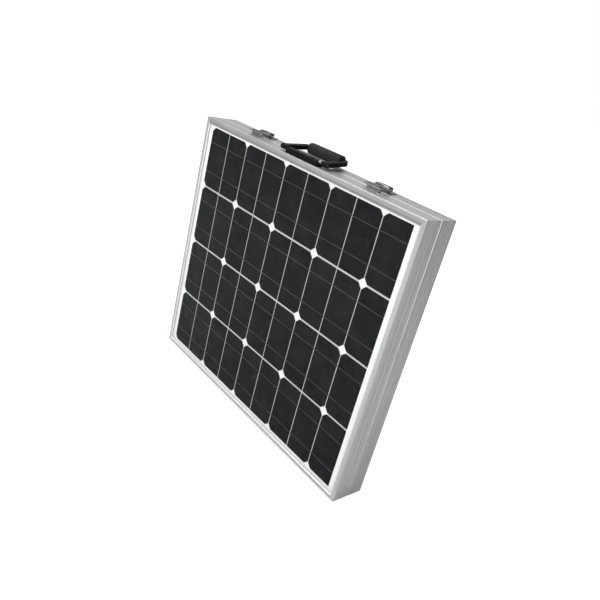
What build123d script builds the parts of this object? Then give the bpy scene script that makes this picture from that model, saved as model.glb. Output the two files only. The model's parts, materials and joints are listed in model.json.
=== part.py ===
from build123d import *
import os
from math import cos, radians, sin

# Folding two-module solar kit, folded back to back and standing on its hinged long edge.
# Millimetres. +X is the width, +Y the depth (the front module faces -Y), +Z is up.
# The origin is the centre of the footprint, on the plane that the rubber feet stand on.
# Both modules are the same: the rear one is the front one turned half a turn about Z.

# ---------------------------------------------------------------- driving dimensions
PANEL_W = 622.0
PANEL_H = 544.0
FRAME_DEPTH = 37.2
BACK_GAP = 0.6
FOOT_H = 5.75

WALL = 1.8
LIP_W = 8.8
LIP_T = 1.6
LIP_BEVEL = 0.8
FLANGE_W = 25.0
FLANGE_T = 1.8
SHELF_AT = 5.2
SHELF_T = 1.4
BOX_W = 9.6
BOX_WALL = 1.4
EDGE_R = 0.8
BACK_EDGE_R = 1.5
GROOVE_W = 1.4
GROOVE_DEPTH = 0.5
GROOVES_AT = (9.0, 15.5, 22.0, 28.5)
MITRE_GAP = 0.1
KEY_ARM = 42.0
KEY_GAP = 0.1

COLUMNS = 9
ROWS = 4
CELL_SIDE = 125.0
WAFER_R = 82.5
CELL_T = 0.2
COLUMN_PITCH = 64.3
ROW_PITCH = 128.6
RIBBON_W = 1.6
RIBBON_T = 0.15
RIBBON_SPACING = 62.0
GLASS_T = 2.4
BACKSHEET_T = 0.3
SEAL_T = 0.55

JBOX_W = 92.0
JBOX_H = 64.0
JBOX_DEPTH = 15.0
JBOX_WALL = 2.0
JBOX_LID_T = 2.5
JBOX_DROP = 105.0
GLAND_SPACING = 44.0
GLAND_R = 6.5
GLAND_BORE_R = 2.8
GLAND_LEN = 14.0

RACK_HOLE_R = 3.5
RACK_HOLE_INSET = 14.0
RACK_HOLE_SPACING = 300.0

FOOT_R = 7.5
FEET_X = (-255.0, 285.0)
FOOT_INSET = 17.5

HINGES_X = (-210.0, 0.0, 210.0)
HINGE_LEN = 60.0
KNUCKLES = 5
KNUCKLE_R = 2.5
KNUCKLE_GAP = 0.3
HINGE_DROP = 3.0
LEAF_T = 1.5
LEAF_REACH = 24.0
LEAF_CUTBACK = 3.2
HINGE_PIN_R = 1.2
RUNNING_FIT = 0.05
RIVET_R = 1.95
RIVET_HEAD_R = 3.6
RIVET_HEAD_H = 1.2
RIVET_TAIL = 3.0
HINGE_RIVET_X = 18.0
HINGE_RIVET_INSET = 20.0

HANDLE_INSET = 12.5
HANDLE_AXIS_H = 7.5
HANDLE_REST = 5.0
BASE_W = 92.0
BASE_DEPTH = 15.0
BASE_H = 10.5
BAIL_HALF_W = 65.0
BAIL_ARM_W = 13.0
BAIL_T = 8.0
BAIL_EYE_R = 5.0
BAIL_REACH = 61.0
BAIL_BAR = 14.0
BAIL_TOP_HALF_W = 60.0
BAIL_CORNER_R = 14.0
BAIL_KNEE = 10.0
GRIP_W = 90.0
GRIP_WALL = 3.0
GRIP_T = 21.0
GRIP_EDGE_R = 8.0
HANDLE_PIN_R = 2.0
PIN_GRIP = 7.0
SPACER_R = 5.4
SCREWS_X = (-32.0, -12.0, 12.0, 32.0)
SCREW_R = 2.0
SCREW_HEAD_R = 3.8
SCREW_HEAD_H = 2.4
SCREW_SINK = 0.6

LATCH_X = 168.0
LATCH_AXIS_Y = 10.0
LATCH_AXIS_H = 5.6
CRANK = 5.0
CRANK_ANGLE = -8.0
LEVER_HALF_W = 15.5
LEVER_T = 1.2
LEVER_TOP = 8.9
LEVER_RISE = 1.6
LEVER_END = 29.0
LEVER_BOW = 7.0
EAR_GAP = 0.3
EAR_T = 1.4
EAR_R = 3.2
LATCH_PLATE_T = 1.2
LATCH_PLATE_HALF_W = 23.0
LATCH_PLATE_BACK = 33.0
LATCH_PLATE_R = 11.0
LATCH_PIN_R = 1.5
LOOP_HALF_W = 21.0
LOOP_WIRE_R = 1.3
LOOP_FRONT = -15.0
LOOP_FRONT_H = 7.0
LOOP_CORNER_R = 7.0
KEEPER_HALF_W = 15.0
KEEPER_LIP_W = 24.0
KEEPER_LIP_H = 11.0
KEEPER_LIP_T = 1.4
KEEPER_BACK = -2.5
KEEPER_RIVET_Y = -7.0
KEEPER_RIVET_X = 8.5
LATCH_RIVET_R = 1.5
LATCH_RIVET_HEAD_R = 2.6
LATCH_RIVET_HEAD_H = 1.0

LEG_SIZE = 12.0
LEG_WALL = 1.2
LEG_X = 250.0
LEG_AXIS_Y = -13.0
LEG_AXIS_Z = 45.0
LEG_TAIL = 8.0
LEG_TOP_Z = 511.0
BRACKET_T = 2.0
BRACKET_GAP = 0.3
BRACKET_EYE_R = 7.0
BOLT_R = 2.95
BOLT_HEAD_R = 5.2
BOLT_HEAD_H = 4.0
CAP_T = 2.0
CAP_PLUG = 8.0

# ---------------------------------------------------------------- derived places
FRONT_Y = -(FRAME_DEPTH + BACK_GAP / 2)
BACK_Y = -BACK_GAP / 2
LOW_Z = FOOT_H
TOP_Z = FOOT_H + PANEL_H
MID_Z = FOOT_H + PANEL_H / 2
GLASS_BACK_Y = FRONT_Y + LIP_T + GLASS_T
CELL_FRONT_Y = GLASS_BACK_Y + RIBBON_T
SHEET_FRONT_Y = CELL_FRONT_Y + CELL_T
SHEET_BACK_Y = SHEET_FRONT_Y + BACKSHEET_T
HINGE_Z = LOW_Z - HINGE_DROP
HANDLE_Y = FRONT_Y + HANDLE_INSET
HANDLE_Z = TOP_Z + HANDLE_AXIS_H
LATCH_AXIS_Z = TOP_Z + LATCH_AXIS_H
CRANK_Y = LATCH_AXIS_Y + CRANK * cos(radians(CRANK_ANGLE))
CRANK_Z = LATCH_AXIS_Z + CRANK * sin(radians(CRANK_ANGLE))
LATCH_PLATE_RIVETS = ((-19.0, 20.0), (19.0, 20.0), (0.0, 25.0))
BRACKET_LOW_Z = LOW_Z + BOX_W + BRACKET_GAP

FRONT = "front"
REAR = "rear"


def save(part, label):
    """Label a finished piece and write its STEP file."""
    part.label = label
    export_step(part, f"parts/{label}.step")


def save_on_module(part, side, label):
    """Write a module's piece, turned half a turn about Z for the rear module."""
    placed = part if side == FRONT else part.rotate(Axis.Z, 180)
    save(placed, f"{side}_{label}")


def at_depth(y):
    """A drawing plane facing forward at depth y: local x is X, local y is Z."""
    return Plane(origin=(0, y, 0), x_dir=(1, 0, 0), z_dir=(0, -1, 0))


def at_height(z):
    return Plane.XY.offset(z)


def side_on(x):
    """A drawing plane across the width at x: local x is Y, local y is Z."""
    return Plane(origin=(x, 0, 0), x_dir=(0, 1, 0), z_dir=(1, 0, 0))


# ---------------------------------------------------------------- frame of a module
# Each rail is drawn with local x running inwards from its outer wall, local y
# running back from the front face, and local z along the rail.
RAIL_PLANES = {
    "top": Plane(origin=(0, FRONT_Y, TOP_Z), x_dir=(0, 0, -1), z_dir=(1, 0, 0)),
    "bottom": Plane(origin=(0, FRONT_Y, LOW_Z), x_dir=(0, 0, 1), z_dir=(-1, 0, 0)),
    "left": Plane(origin=(-PANEL_W / 2, FRONT_Y, MID_Z), x_dir=(1, 0, 0), z_dir=(0, 0, 1)),
    "right": Plane(origin=(PANEL_W / 2, FRONT_Y, MID_Z), x_dir=(-1, 0, 0), z_dir=(0, 0, -1)),
}
RAIL_LENGTHS = {"top": PANEL_W, "bottom": PANEL_W, "left": PANEL_H, "right": PANEL_H}

# Holes through the outer walls, as (X, depth behind the front face, radius).
HINGE_HOLES = [
    (x + offset, FRAME_DEPTH - HINGE_RIVET_INSET + BACK_GAP / 2, RIVET_R + RUNNING_FIT)
    for x in HINGES_X
    for offset in (-HINGE_RIVET_X, HINGE_RIVET_X)
]
KEEPER_HOLES = [
    (side * LATCH_X + offset, KEEPER_RIVET_Y - FRONT_Y, LATCH_RIVET_R + RUNNING_FIT)
    for side in (-1, 1)
    for offset in (-KEEPER_RIVET_X, KEEPER_RIVET_X)
]
SCREW_HOLES = [(x, HANDLE_INSET, SCREW_R + RUNNING_FIT) for x in SCREWS_X]
LATCH_PLATE_HOLES = [
    (side * LATCH_X - dx, -FRONT_Y - y, LATCH_RIVET_R + RUNNING_FIT)
    for side in (-1, 1)
    for dx, y in LATCH_PLATE_RIVETS
]
WALL_HOLES = {
    (FRONT, "top"): KEEPER_HOLES + SCREW_HOLES,
    (REAR, "top"): LATCH_PLATE_HOLES,
    (FRONT, "bottom"): HINGE_HOLES,
    (REAR, "bottom"): HINGE_HOLES,
}


def frame_rail(side, edge):
    """One mitred aluminium extrusion: lip, glass groove, hollow box and rear flange."""
    plane = RAIL_PLANES[edge]
    length = RAIL_LENGTHS[edge]
    outline = [
        (0, 0),
        (LIP_W - LIP_BEVEL, 0),
        (LIP_W, LIP_BEVEL),
        (LIP_W, LIP_T),
        (WALL, LIP_T),
        (WALL, SHELF_AT),
        (BOX_W, SHELF_AT),
        (BOX_W, FRAME_DEPTH - FLANGE_T),
        (FLANGE_W, FRAME_DEPTH - FLANGE_T),
        (FLANGE_W, FRAME_DEPTH),
        (0, FRAME_DEPTH),
    ]
    chamber_w = BOX_W - BOX_WALL - WALL
    chamber_d = FRAME_DEPTH - FLANGE_T - SHELF_AT - SHELF_T
    with BuildPart() as rail:
        with BuildSketch(plane):
            with BuildLine():
                Polyline(*outline, close=True)
            make_face()
            outer = vertices().group_by(Axis.X)[0]
            fillet(outer.sort_by(Axis.Y)[0], EDGE_R)
            outer = vertices().group_by(Axis.X)[0]
            fillet(outer.sort_by(Axis.Y)[-1], BACK_EDGE_R)
            with Locations((WALL, SHELF_AT + SHELF_T)):
                Rectangle(chamber_w, chamber_d, align=(Align.MIN, Align.MIN), mode=Mode.SUBTRACT)
            with Locations(*[(0, depth) for depth in GROOVES_AT]):
                Rectangle(2 * GROOVE_DEPTH, GROOVE_W, mode=Mode.SUBTRACT)
        extrude(amount=length / 2, both=True)
        for end in (-1, 1):
            tip = plane.origin + plane.z_dir * end * (length / 2 - MITRE_GAP)
            mitre = Plane(origin=tip, z_dir=-plane.z_dir * end - plane.x_dir)
            split(bisect_by=mitre, keep=Keep.TOP)
        inwards = 1 if edge == "bottom" else -1
        for x, depth, radius in WALL_HOLES.get((side, edge), []):
            with BuildSketch(at_height(plane.origin.Z)):
                with Locations((x, FRONT_Y + depth)):
                    Circle(radius)
            extrude(amount=inwards * WALL, mode=Mode.SUBTRACT)
        if edge in ("left", "right"):
            sign = 1 if edge == "right" else -1
            hole_x = sign * (PANEL_W / 2 - RACK_HOLE_INSET)
            with BuildSketch(at_depth(BACK_Y)):
                with Locations((hole_x, MID_Z)):
                    with GridLocations(0, RACK_HOLE_SPACING, 1, 2):
                        Circle(RACK_HOLE_R)
            extrude(amount=FLANGE_T, mode=Mode.SUBTRACT)
    return rail.part


def corner_keys():
    """Four L-shaped keys that join the rails inside their hollow boxes."""
    inner = WALL + KEY_GAP
    outer = BOX_W - BOX_WALL - KEY_GAP
    front = FRONT_Y + SHELF_AT + SHELF_T + KEY_GAP
    back = BACK_Y - FLANGE_T - KEY_GAP
    with BuildPart() as keys:
        with BuildSketch(at_depth(front)):
            for sx in (-1, 1):
                for sz in (-1, 1):
                    corner_x = sx * PANEL_W / 2
                    corner_z = MID_Z + sz * PANEL_H / 2
                    bend = [
                        (inner, inner),
                        (KEY_ARM, inner),
                        (KEY_ARM, outer),
                        (outer, outer),
                        (outer, KEY_ARM),
                        (inner, KEY_ARM),
                    ]
                    with BuildLine():
                        points = [(corner_x - sx * a, corner_z - sz * b) for a, b in bend]
                        Polyline(*points, close=True)
                    make_face()
        extrude(amount=front - back)
    return keys.part


# ---------------------------------------------------------------- laminate of a module
def pane(front, back, inset):
    """A flat sheet filling the frame, its edge set back from the outer walls."""
    with BuildPart() as sheet:
        with BuildSketch(at_depth(front)):
            with Locations((0, MID_Z)):
                Rectangle(PANEL_W - 2 * inset, PANEL_H - 2 * inset)
        extrude(amount=front - back)
    return sheet.part


def laminate_seal():
    """Silicone seal round the laminate's edge and behind it, in the frame's groove."""
    outer = WALL + RUNNING_FIT
    edge_w = SEAL_T
    back_leg = BOX_W - 1.0
    with BuildPart() as seal:
        with BuildSketch(at_depth(FRONT_Y + LIP_T)):
            with Locations((0, MID_Z)):
                Rectangle(PANEL_W - 2 * outer, PANEL_H - 2 * outer)
                Rectangle(
                    PANEL_W - 2 * (outer + edge_w),
                    PANEL_H - 2 * (outer + edge_w),
                    mode=Mode.SUBTRACT,
                )
        extrude(amount=FRONT_Y + LIP_T - SHEET_BACK_Y)
        with BuildSketch(at_depth(SHEET_BACK_Y)):
            with Locations((0, MID_Z)):
                Rectangle(PANEL_W - 2 * outer, PANEL_H - 2 * outer)
                Rectangle(PANEL_W - 2 * back_leg, PANEL_H - 2 * back_leg, mode=Mode.SUBTRACT)
        extrude(amount=SHEET_BACK_Y - (FRONT_Y + SHELF_AT))
    return seal.part


def half_cell(clipped_side):
    """Half of a pseudo-square wafer: two corners follow the round ingot's edge."""
    with BuildSketch() as cell:
        Rectangle(CELL_SIDE / 2, CELL_SIDE)
        with Locations((-clipped_side * CELL_SIDE / 4, 0)):
            Circle(WAFER_R, mode=Mode.INTERSECT)
    return cell.sketch


def cell_array():
    """Four rows of nine half cells; neighbouring halves show the cut wafer's corners."""
    halves = {-1: half_cell(-1), 1: half_cell(1)}
    with BuildPart() as cells:
        with BuildSketch(at_depth(CELL_FRONT_Y)):
            for column in range(COLUMNS):
                x = (column - (COLUMNS - 1) / 2) * COLUMN_PITCH
                clipped_side = -1 if column % 2 == 0 else 1
                with Locations((x, MID_Z)):
                    with GridLocations(0, ROW_PITCH, 1, ROWS):
                        add(halves[clipped_side])
        extrude(amount=-CELL_T)
    return cells.part


def ribbons():
    """Two flat tinned ribbons on every row of cells."""
    with BuildPart() as strips:
        with BuildSketch(at_depth(GLASS_BACK_Y)):
            with Locations((0, MID_Z)):
                with GridLocations(0, ROW_PITCH, 1, ROWS):
                    with GridLocations(0, RIBBON_SPACING, 1, 2):
                        Rectangle((COLUMNS - 1) * COLUMN_PITCH + CELL_SIDE / 2, RIBBON_W)
        extrude(amount=-RIBBON_T)
    return strips.part


# ---------------------------------------------------------------- junction box
JBOX_Z = TOP_Z - JBOX_DROP
JBOX_BACK_Y = SHEET_BACK_Y + JBOX_DEPTH


def junction_box_base():
    """Open plastic tray glued to the backsheet, with two holes for the glands."""
    with BuildPart() as box:
        with BuildSketch(at_depth(SHEET_BACK_Y)):
            with Locations((0, JBOX_Z)):
                RectangleRounded(JBOX_W, JBOX_H, 4)
        extrude(amount=-JBOX_DEPTH)
        with BuildSketch(at_depth(SHEET_BACK_Y + JBOX_WALL)):
            with Locations((0, JBOX_Z)):
                RectangleRounded(JBOX_W - 2 * JBOX_WALL, JBOX_H - 2 * JBOX_WALL, 2)
        extrude(amount=-JBOX_DEPTH, mode=Mode.SUBTRACT)
        with BuildSketch(at_height(JBOX_Z - JBOX_H / 2)):
            with Locations((0, SHEET_BACK_Y + JBOX_DEPTH / 2)):
                with GridLocations(GLAND_SPACING, 0, 2, 1):
                    Circle(GLAND_R - 2)
        extrude(amount=JBOX_WALL, mode=Mode.SUBTRACT)
    return box.part


def junction_box_lid():
    """Lid with a locating rim and a raised centre."""
    with BuildPart() as lid:
        with BuildSketch(at_depth(JBOX_BACK_Y)):
            with Locations((0, JBOX_Z)):
                RectangleRounded(JBOX_W, JBOX_H, 4)
        extrude(amount=-JBOX_LID_T)
        chamfer(faces().sort_by(Axis.Y)[-1].edges(), 1.0)
        with BuildSketch(at_depth(JBOX_BACK_Y)):
            with Locations((0, JBOX_Z)):
                RectangleRounded(JBOX_W - 2 * JBOX_WALL - 0.2, JBOX_H - 2 * JBOX_WALL - 0.2, 2)
                RectangleRounded(
                    JBOX_W - 4 * JBOX_WALL, JBOX_H - 4 * JBOX_WALL, 1.5, mode=Mode.SUBTRACT
                )
        extrude(amount=JBOX_WALL)
        with BuildSketch(at_depth(JBOX_BACK_Y + JBOX_LID_T)):
            with Locations((0, JBOX_Z)):
                RectangleRounded(JBOX_W - 24, JBOX_H - 22, 3)
        extrude(amount=-0.8)
    return lid.part


def cable_glands():
    """Two cable glands under the box, each with a blind bore for a lead."""
    low = JBOX_Z - JBOX_H / 2
    with BuildPart() as glands:
        centres = GridLocations(GLAND_SPACING, 0, 2, 1).locations
        middle_y = SHEET_BACK_Y + JBOX_DEPTH / 2
        spots = [(spot.position.X, middle_y) for spot in centres]
        with BuildSketch(at_height(low)):
            with Locations(*spots):
                RegularPolygon(GLAND_R, 6)
        extrude(amount=-GLAND_LEN * 0.35)
        with BuildSketch(at_height(low - GLAND_LEN * 0.35)):
            with Locations(*spots):
                Circle(GLAND_R - 1.0)
        extrude(amount=-GLAND_LEN * 0.65, taper=6)
        with BuildSketch(at_height(low)):
            with Locations(*spots):
                Circle(GLAND_R - 2 - RUNNING_FIT)
        extrude(amount=JBOX_WALL + 2)
        with BuildSketch(at_height(low - GLAND_LEN)):
            with Locations(*spots):
                Circle(GLAND_BORE_R)
        extrude(amount=GLAND_LEN * 0.8, mode=Mode.SUBTRACT)
    return glands.part


# ---------------------------------------------------------------- feet
def feet():
    """Two round rubber feet glued under the bottom rail."""
    with BuildPart() as pads:
        with BuildSketch(at_height(LOW_Z)):
            with Locations(*[(x, FRONT_Y + FOOT_INSET) for x in FEET_X]):
                Circle(FOOT_R)
        extrude(amount=-FOOT_H)
        rims = edges().filter_by(GeomType.CIRCLE).group_by(Axis.Z)[0]
        fillet(rims, 1.2)
    return pads.part


# ---------------------------------------------------------------- prop stand
LEG_SIDES = (-1, 1)


def stand_legs():
    """Two square-tube legs lying in the module's back tray, pivoted at their lower ends."""
    low = LEG_AXIS_Z - LEG_TAIL
    with BuildPart() as legs:
        with BuildSketch(at_height(low)):
            with Locations(*[(side * LEG_X, LEG_AXIS_Y) for side in LEG_SIDES]):
                RectangleRounded(LEG_SIZE, LEG_SIZE, 1.5)
                inner = LEG_SIZE - 2 * LEG_WALL
                Rectangle(inner, inner, mode=Mode.SUBTRACT)
        extrude(amount=LEG_TOP_Z - low)
        with BuildSketch(side_on(0)):
            with Locations((LEG_AXIS_Y, LEG_AXIS_Z)):
                Circle(BOLT_R + RUNNING_FIT)
        extrude(amount=LEG_X + LEG_SIZE, both=True, mode=Mode.SUBTRACT)
    return legs.part


def stand_crossbar():
    """Square tube welded between the legs' free ends."""
    length = 2 * LEG_X - LEG_SIZE
    with BuildPart() as bar:
        with BuildSketch(side_on(0)):
            with Locations((LEG_AXIS_Y, LEG_TOP_Z - LEG_SIZE / 2)):
                RectangleRounded(LEG_SIZE, LEG_SIZE, 1.5)
                inner = LEG_SIZE - 2 * LEG_WALL
                Rectangle(inner, inner, mode=Mode.SUBTRACT)
        extrude(amount=length / 2, both=True)
    return bar.part


def stand_caps():
    """Plastic caps that close both ends of the legs."""
    low = LEG_AXIS_Z - LEG_TAIL
    spots = [(side * LEG_X, LEG_AXIS_Y) for side in LEG_SIDES]
    plug = LEG_SIZE - 2 * LEG_WALL - 2 * RUNNING_FIT
    with BuildPart() as caps:
        for start, outward, depth in ((LEG_TOP_Z, 1, CAP_PLUG), (low, -1, 3.0)):
            with BuildSketch(at_height(start)):
                with Locations(*spots):
                    RectangleRounded(LEG_SIZE, LEG_SIZE, 1.5)
            extrude(amount=outward * CAP_T)
            with BuildSketch(at_height(start)):
                with Locations(*spots):
                    Rectangle(plug, plug)
            extrude(amount=-outward * depth)
    return caps.part


def stand_brackets():
    """Folded steel brackets, welded inside the bottom flange, that carry the legs."""
    inside = LEG_SIZE / 2 + BRACKET_GAP
    outside = inside + BRACKET_T
    flange_y = BACK_Y - FLANGE_T
    flange_top = LOW_Z + FLANGE_W
    with BuildPart() as brackets:
        for side in LEG_SIDES:
            for ear in (-1, 1):
                start = side * LEG_X + (inside if ear > 0 else -outside)
                with BuildSketch(side_on(start)):
                    with BuildLine():
                        Polyline(
                            (flange_y, BRACKET_LOW_Z),
                            (flange_y, flange_top),
                            (LEG_AXIS_Y + BRACKET_EYE_R, LEG_AXIS_Z),
                            (LEG_AXIS_Y - BRACKET_EYE_R, LEG_AXIS_Z),
                            (LEG_AXIS_Y, BRACKET_LOW_Z),
                            close=True,
                        )
                    make_face()
                    with Locations((LEG_AXIS_Y, LEG_AXIS_Z)):
                        Circle(BRACKET_EYE_R)
                        Circle(BOLT_R + RUNNING_FIT, mode=Mode.SUBTRACT)
                extrude(amount=BRACKET_T)
        with BuildSketch(at_depth(flange_y - BRACKET_T)):
            middle = (BRACKET_LOW_Z + flange_top) / 2
            with Locations(*[(side * LEG_X, middle) for side in LEG_SIDES]):
                Rectangle(2 * outside, flange_top - BRACKET_LOW_Z)
        extrude(amount=-BRACKET_T)
    return brackets.part


def stand_bolts():
    """Hexagon bolts with nuts, one through each bracket and leg."""
    reach = LEG_SIZE / 2 + BRACKET_GAP + BRACKET_T
    with BuildPart() as bolts:
        for side in LEG_SIDES:
            with BuildSketch(side_on(side * LEG_X)):
                with Locations((LEG_AXIS_Y, LEG_AXIS_Z)):
                    Circle(BOLT_R)
            extrude(amount=reach + BOLT_HEAD_H + 1.5, both=True)
            for end in (-1, 1):
                with BuildSketch(side_on(side * LEG_X + end * reach)):
                    with Locations((LEG_AXIS_Y, LEG_AXIS_Z)):
                        RegularPolygon(BOLT_HEAD_R, 6)
                extrude(amount=end * BOLT_HEAD_H)
    return bolts.part


# ---------------------------------------------------------------- hinges
def hinge_rivet_places(sign):
    """Centres of the hinge rivets on the front (-1) or rear (+1) module's bottom wall."""
    y = sign * HINGE_RIVET_INSET
    return [(x + dx, y) for x in HINGES_X for dx in (-HINGE_RIVET_X, HINGE_RIVET_X)]


def hinge_leaves(sign, knuckle_numbers):
    """Three leaves under one bottom wall, each with its own knuckles round the pin."""
    segment = HINGE_LEN / KNUCKLES
    low = LOW_Z - LEAF_T
    edge = LEAF_CUTBACK
    with BuildPart() as leaves:
        with BuildSketch(at_height(low)):
            middle = sign * (LEAF_REACH + edge) / 2
            with Locations(*[(x, middle) for x in HINGES_X]):
                Rectangle(HINGE_LEN, LEAF_REACH - edge)
        extrude(amount=LEAF_T)
        for hinge_x in HINGES_X:
            for number in knuckle_numbers:
                start = hinge_x - HINGE_LEN / 2 + number * segment + KNUCKLE_GAP / 2
                with BuildSketch(side_on(start)):
                    with Locations((0, HINGE_Z)):
                        Circle(KNUCKLE_R)
                    with Locations((sign * edge / 2, LOW_Z - LEAF_T / 2)):
                        Rectangle(edge, LEAF_T)
                    with Locations((0, HINGE_Z)):
                        Circle(HINGE_PIN_R + RUNNING_FIT, mode=Mode.SUBTRACT)
                extrude(amount=segment - KNUCKLE_GAP)
        with BuildSketch(at_height(low)):
            with Locations(*hinge_rivet_places(sign)):
                Circle(RIVET_R + RUNNING_FIT)
        extrude(amount=LEAF_T, mode=Mode.SUBTRACT)
    return leaves.part


def hinge_pins():
    """Three steel pins with small upset heads."""
    with BuildPart() as pins:
        for hinge_x in HINGES_X:
            with BuildSketch(side_on(hinge_x)):
                with Locations((0, HINGE_Z)):
                    Circle(HINGE_PIN_R)
            extrude(amount=HINGE_LEN / 2, both=True)
            for end in (-1, 1):
                with BuildSketch(side_on(hinge_x + end * HINGE_LEN / 2)):
                    with Locations((0, HINGE_Z)):
                        Circle(HINGE_PIN_R + 0.8)
                extrude(amount=end * 0.8)
    return pins.part


def domed_rivets(places, head_plane_z, outward, head_r, head_h, shank_r, grip, tail):
    """Rivets along Z: a domed head outside and a shank with an upset tail inside."""
    with BuildPart() as rivets:
        with BuildSketch(at_height(head_plane_z)):
            with Locations(*places):
                Circle(head_r)
        extrude(amount=outward * head_h)
        rims = edges().filter_by(GeomType.CIRCLE).sort_by(Axis.Z)
        group = rims.group_by(Axis.Z)[-1 if outward > 0 else 0]
        fillet(group, head_h * 0.8)
        with BuildSketch(at_height(head_plane_z)):
            with Locations(*places):
                Circle(shank_r)
        extrude(amount=-outward * (grip + tail))
    return rivets.part


# ---------------------------------------------------------------- carry handle
def handle_plane():
    """Plane of the bail at rest: local x is X, local y runs out along the bail."""
    tilt = radians(HANDLE_REST)
    return Plane(
        origin=(0, HANDLE_Y, HANDLE_Z),
        x_dir=(1, 0, 0),
        z_dir=(0, -sin(tilt), cos(tilt)),
    )


def handle_base():
    """Moulded block screwed to the top rail, with a bore for a pin at each end."""
    with BuildPart() as base:
        with BuildSketch(at_height(TOP_Z)):
            with Locations((0, HANDLE_Y)):
                RectangleRounded(BASE_W, BASE_DEPTH, 2.5)
        extrude(amount=BASE_H)
        fillet(faces().sort_by(Axis.Z)[-1].edges(), 1.8)
        with BuildSketch(at_height(TOP_Z + BASE_H)):
            with Locations(*[(x, HANDLE_Y) for x in SCREWS_X]):
                Circle(SCREW_HEAD_R + 0.3)
        extrude(amount=-SCREW_HEAD_H - SCREW_SINK, mode=Mode.SUBTRACT)
        with BuildSketch(at_height(TOP_Z)):
            with Locations(*[(x, HANDLE_Y) for x in SCREWS_X]):
                Circle(SCREW_R + RUNNING_FIT)
        extrude(amount=BASE_H, mode=Mode.SUBTRACT)
        for end in (-1, 1):
            with BuildSketch(side_on(end * BASE_W / 2)):
                with Locations((HANDLE_Y, HANDLE_Z)):
                    Circle(HANDLE_PIN_R + RUNNING_FIT)
            extrude(amount=-end * (PIN_GRIP + 1), mode=Mode.SUBTRACT)
    return base.part


def handle_bail():
    """Swinging bail: two flat arms with round eyes, joined by the bar inside the grip."""
    inner_half_w = BAIL_HALF_W - BAIL_ARM_W
    bar_half_w = BAIL_TOP_HALF_W - BAIL_ARM_W
    bar_start = BAIL_REACH - BAIL_BAR
    with BuildPart() as bail:
        with BuildSketch(handle_plane().offset(-BAIL_T / 2)):
            with BuildLine():
                Polyline(
                    (-BAIL_HALF_W, 0),
                    (-BAIL_HALF_W, BAIL_KNEE),
                    (-BAIL_TOP_HALF_W, BAIL_REACH),
                    (BAIL_TOP_HALF_W, BAIL_REACH),
                    (BAIL_HALF_W, BAIL_KNEE),
                    (BAIL_HALF_W, 0),
                    close=True,
                )
            make_face()
            with BuildLine():
                Polyline(
                    (-inner_half_w, -1),
                    (-inner_half_w, BAIL_KNEE),
                    (-bar_half_w, bar_start),
                    (bar_half_w, bar_start),
                    (inner_half_w, BAIL_KNEE),
                    (inner_half_w, -1),
                    close=True,
                )
            make_face(mode=Mode.SUBTRACT)
            fillet(vertices().group_by(Axis.Y)[-1], BAIL_CORNER_R)
        extrude(amount=BAIL_T)
        for end in (-1, 1):
            with BuildSketch(side_on(end * inner_half_w)):
                with Locations((HANDLE_Y, HANDLE_Z)):
                    Circle(BAIL_EYE_R)
            extrude(amount=end * BAIL_ARM_W)
            with BuildSketch(side_on(end * inner_half_w)):
                with Locations((HANDLE_Y, HANDLE_Z)):
                    Circle(HANDLE_PIN_R + RUNNING_FIT)
            extrude(amount=end * BAIL_ARM_W, mode=Mode.SUBTRACT)
    return bail.part


def handle_grip():
    """Fat soft sleeve over the bail's bar."""
    plane = handle_plane()
    across = BAIL_BAR + 2 * GRIP_WALL
    middle = BAIL_REACH - BAIL_BAR / 2
    section = Plane(
        origin=plane.from_local_coords((0, middle, 0)),
        x_dir=plane.y_dir,
        z_dir=plane.x_dir,
    )
    with BuildPart() as grip:
        with BuildSketch(section):
            RectangleRounded(across, GRIP_T, GRIP_EDGE_R)
        extrude(amount=GRIP_W / 2, both=True)
        ends = faces().sort_by(Axis.X)
        fillet(ends[0].edges() + ends[-1].edges(), 2.5)
        with BuildSketch(section):
            Rectangle(BAIL_BAR, BAIL_T)
        extrude(amount=GRIP_W / 2, both=True, mode=Mode.SUBTRACT)
    return grip.part


def handle_pins():
    """Two headed pins that carry the bail's eyes."""
    head_at = BAIL_HALF_W + EAR_GAP
    with BuildPart() as pins:
        for end in (-1, 1):
            with BuildSketch(side_on(end * (BASE_W / 2 - PIN_GRIP))):
                with Locations((HANDLE_Y, HANDLE_Z)):
                    Circle(HANDLE_PIN_R)
            extrude(amount=end * (head_at - BASE_W / 2 + PIN_GRIP))
            with BuildSketch(side_on(end * head_at)):
                with Locations((HANDLE_Y, HANDLE_Z)):
                    Circle(HANDLE_PIN_R + 1.4)
            extrude(amount=end * 1.2)
        fillet(faces().sort_by(Axis.X)[-1].edges() + faces().sort_by(Axis.X)[0].edges(), 0.8)
    return pins.part


def handle_spacers():
    """Two steel collars on the pins, between the base and the bail's eyes."""
    inner = BASE_W / 2 + EAR_GAP
    outer = BAIL_HALF_W - BAIL_ARM_W - EAR_GAP
    with BuildPart() as spacers:
        for end in (-1, 1):
            with BuildSketch(side_on(end * inner)):
                with Locations((HANDLE_Y, HANDLE_Z)):
                    Circle(SPACER_R)
            extrude(amount=end * (outer - inner))
            outside = faces().sort_by(Axis.X)[-1 if end > 0 else 0]
            chamfer(outside.edges(), 0.8)
        with BuildSketch(side_on(0)):
            with Locations((HANDLE_Y, HANDLE_Z)):
                Circle(HANDLE_PIN_R + RUNNING_FIT)
        extrude(amount=outer, both=True, mode=Mode.SUBTRACT)
    return spacers.part


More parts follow.
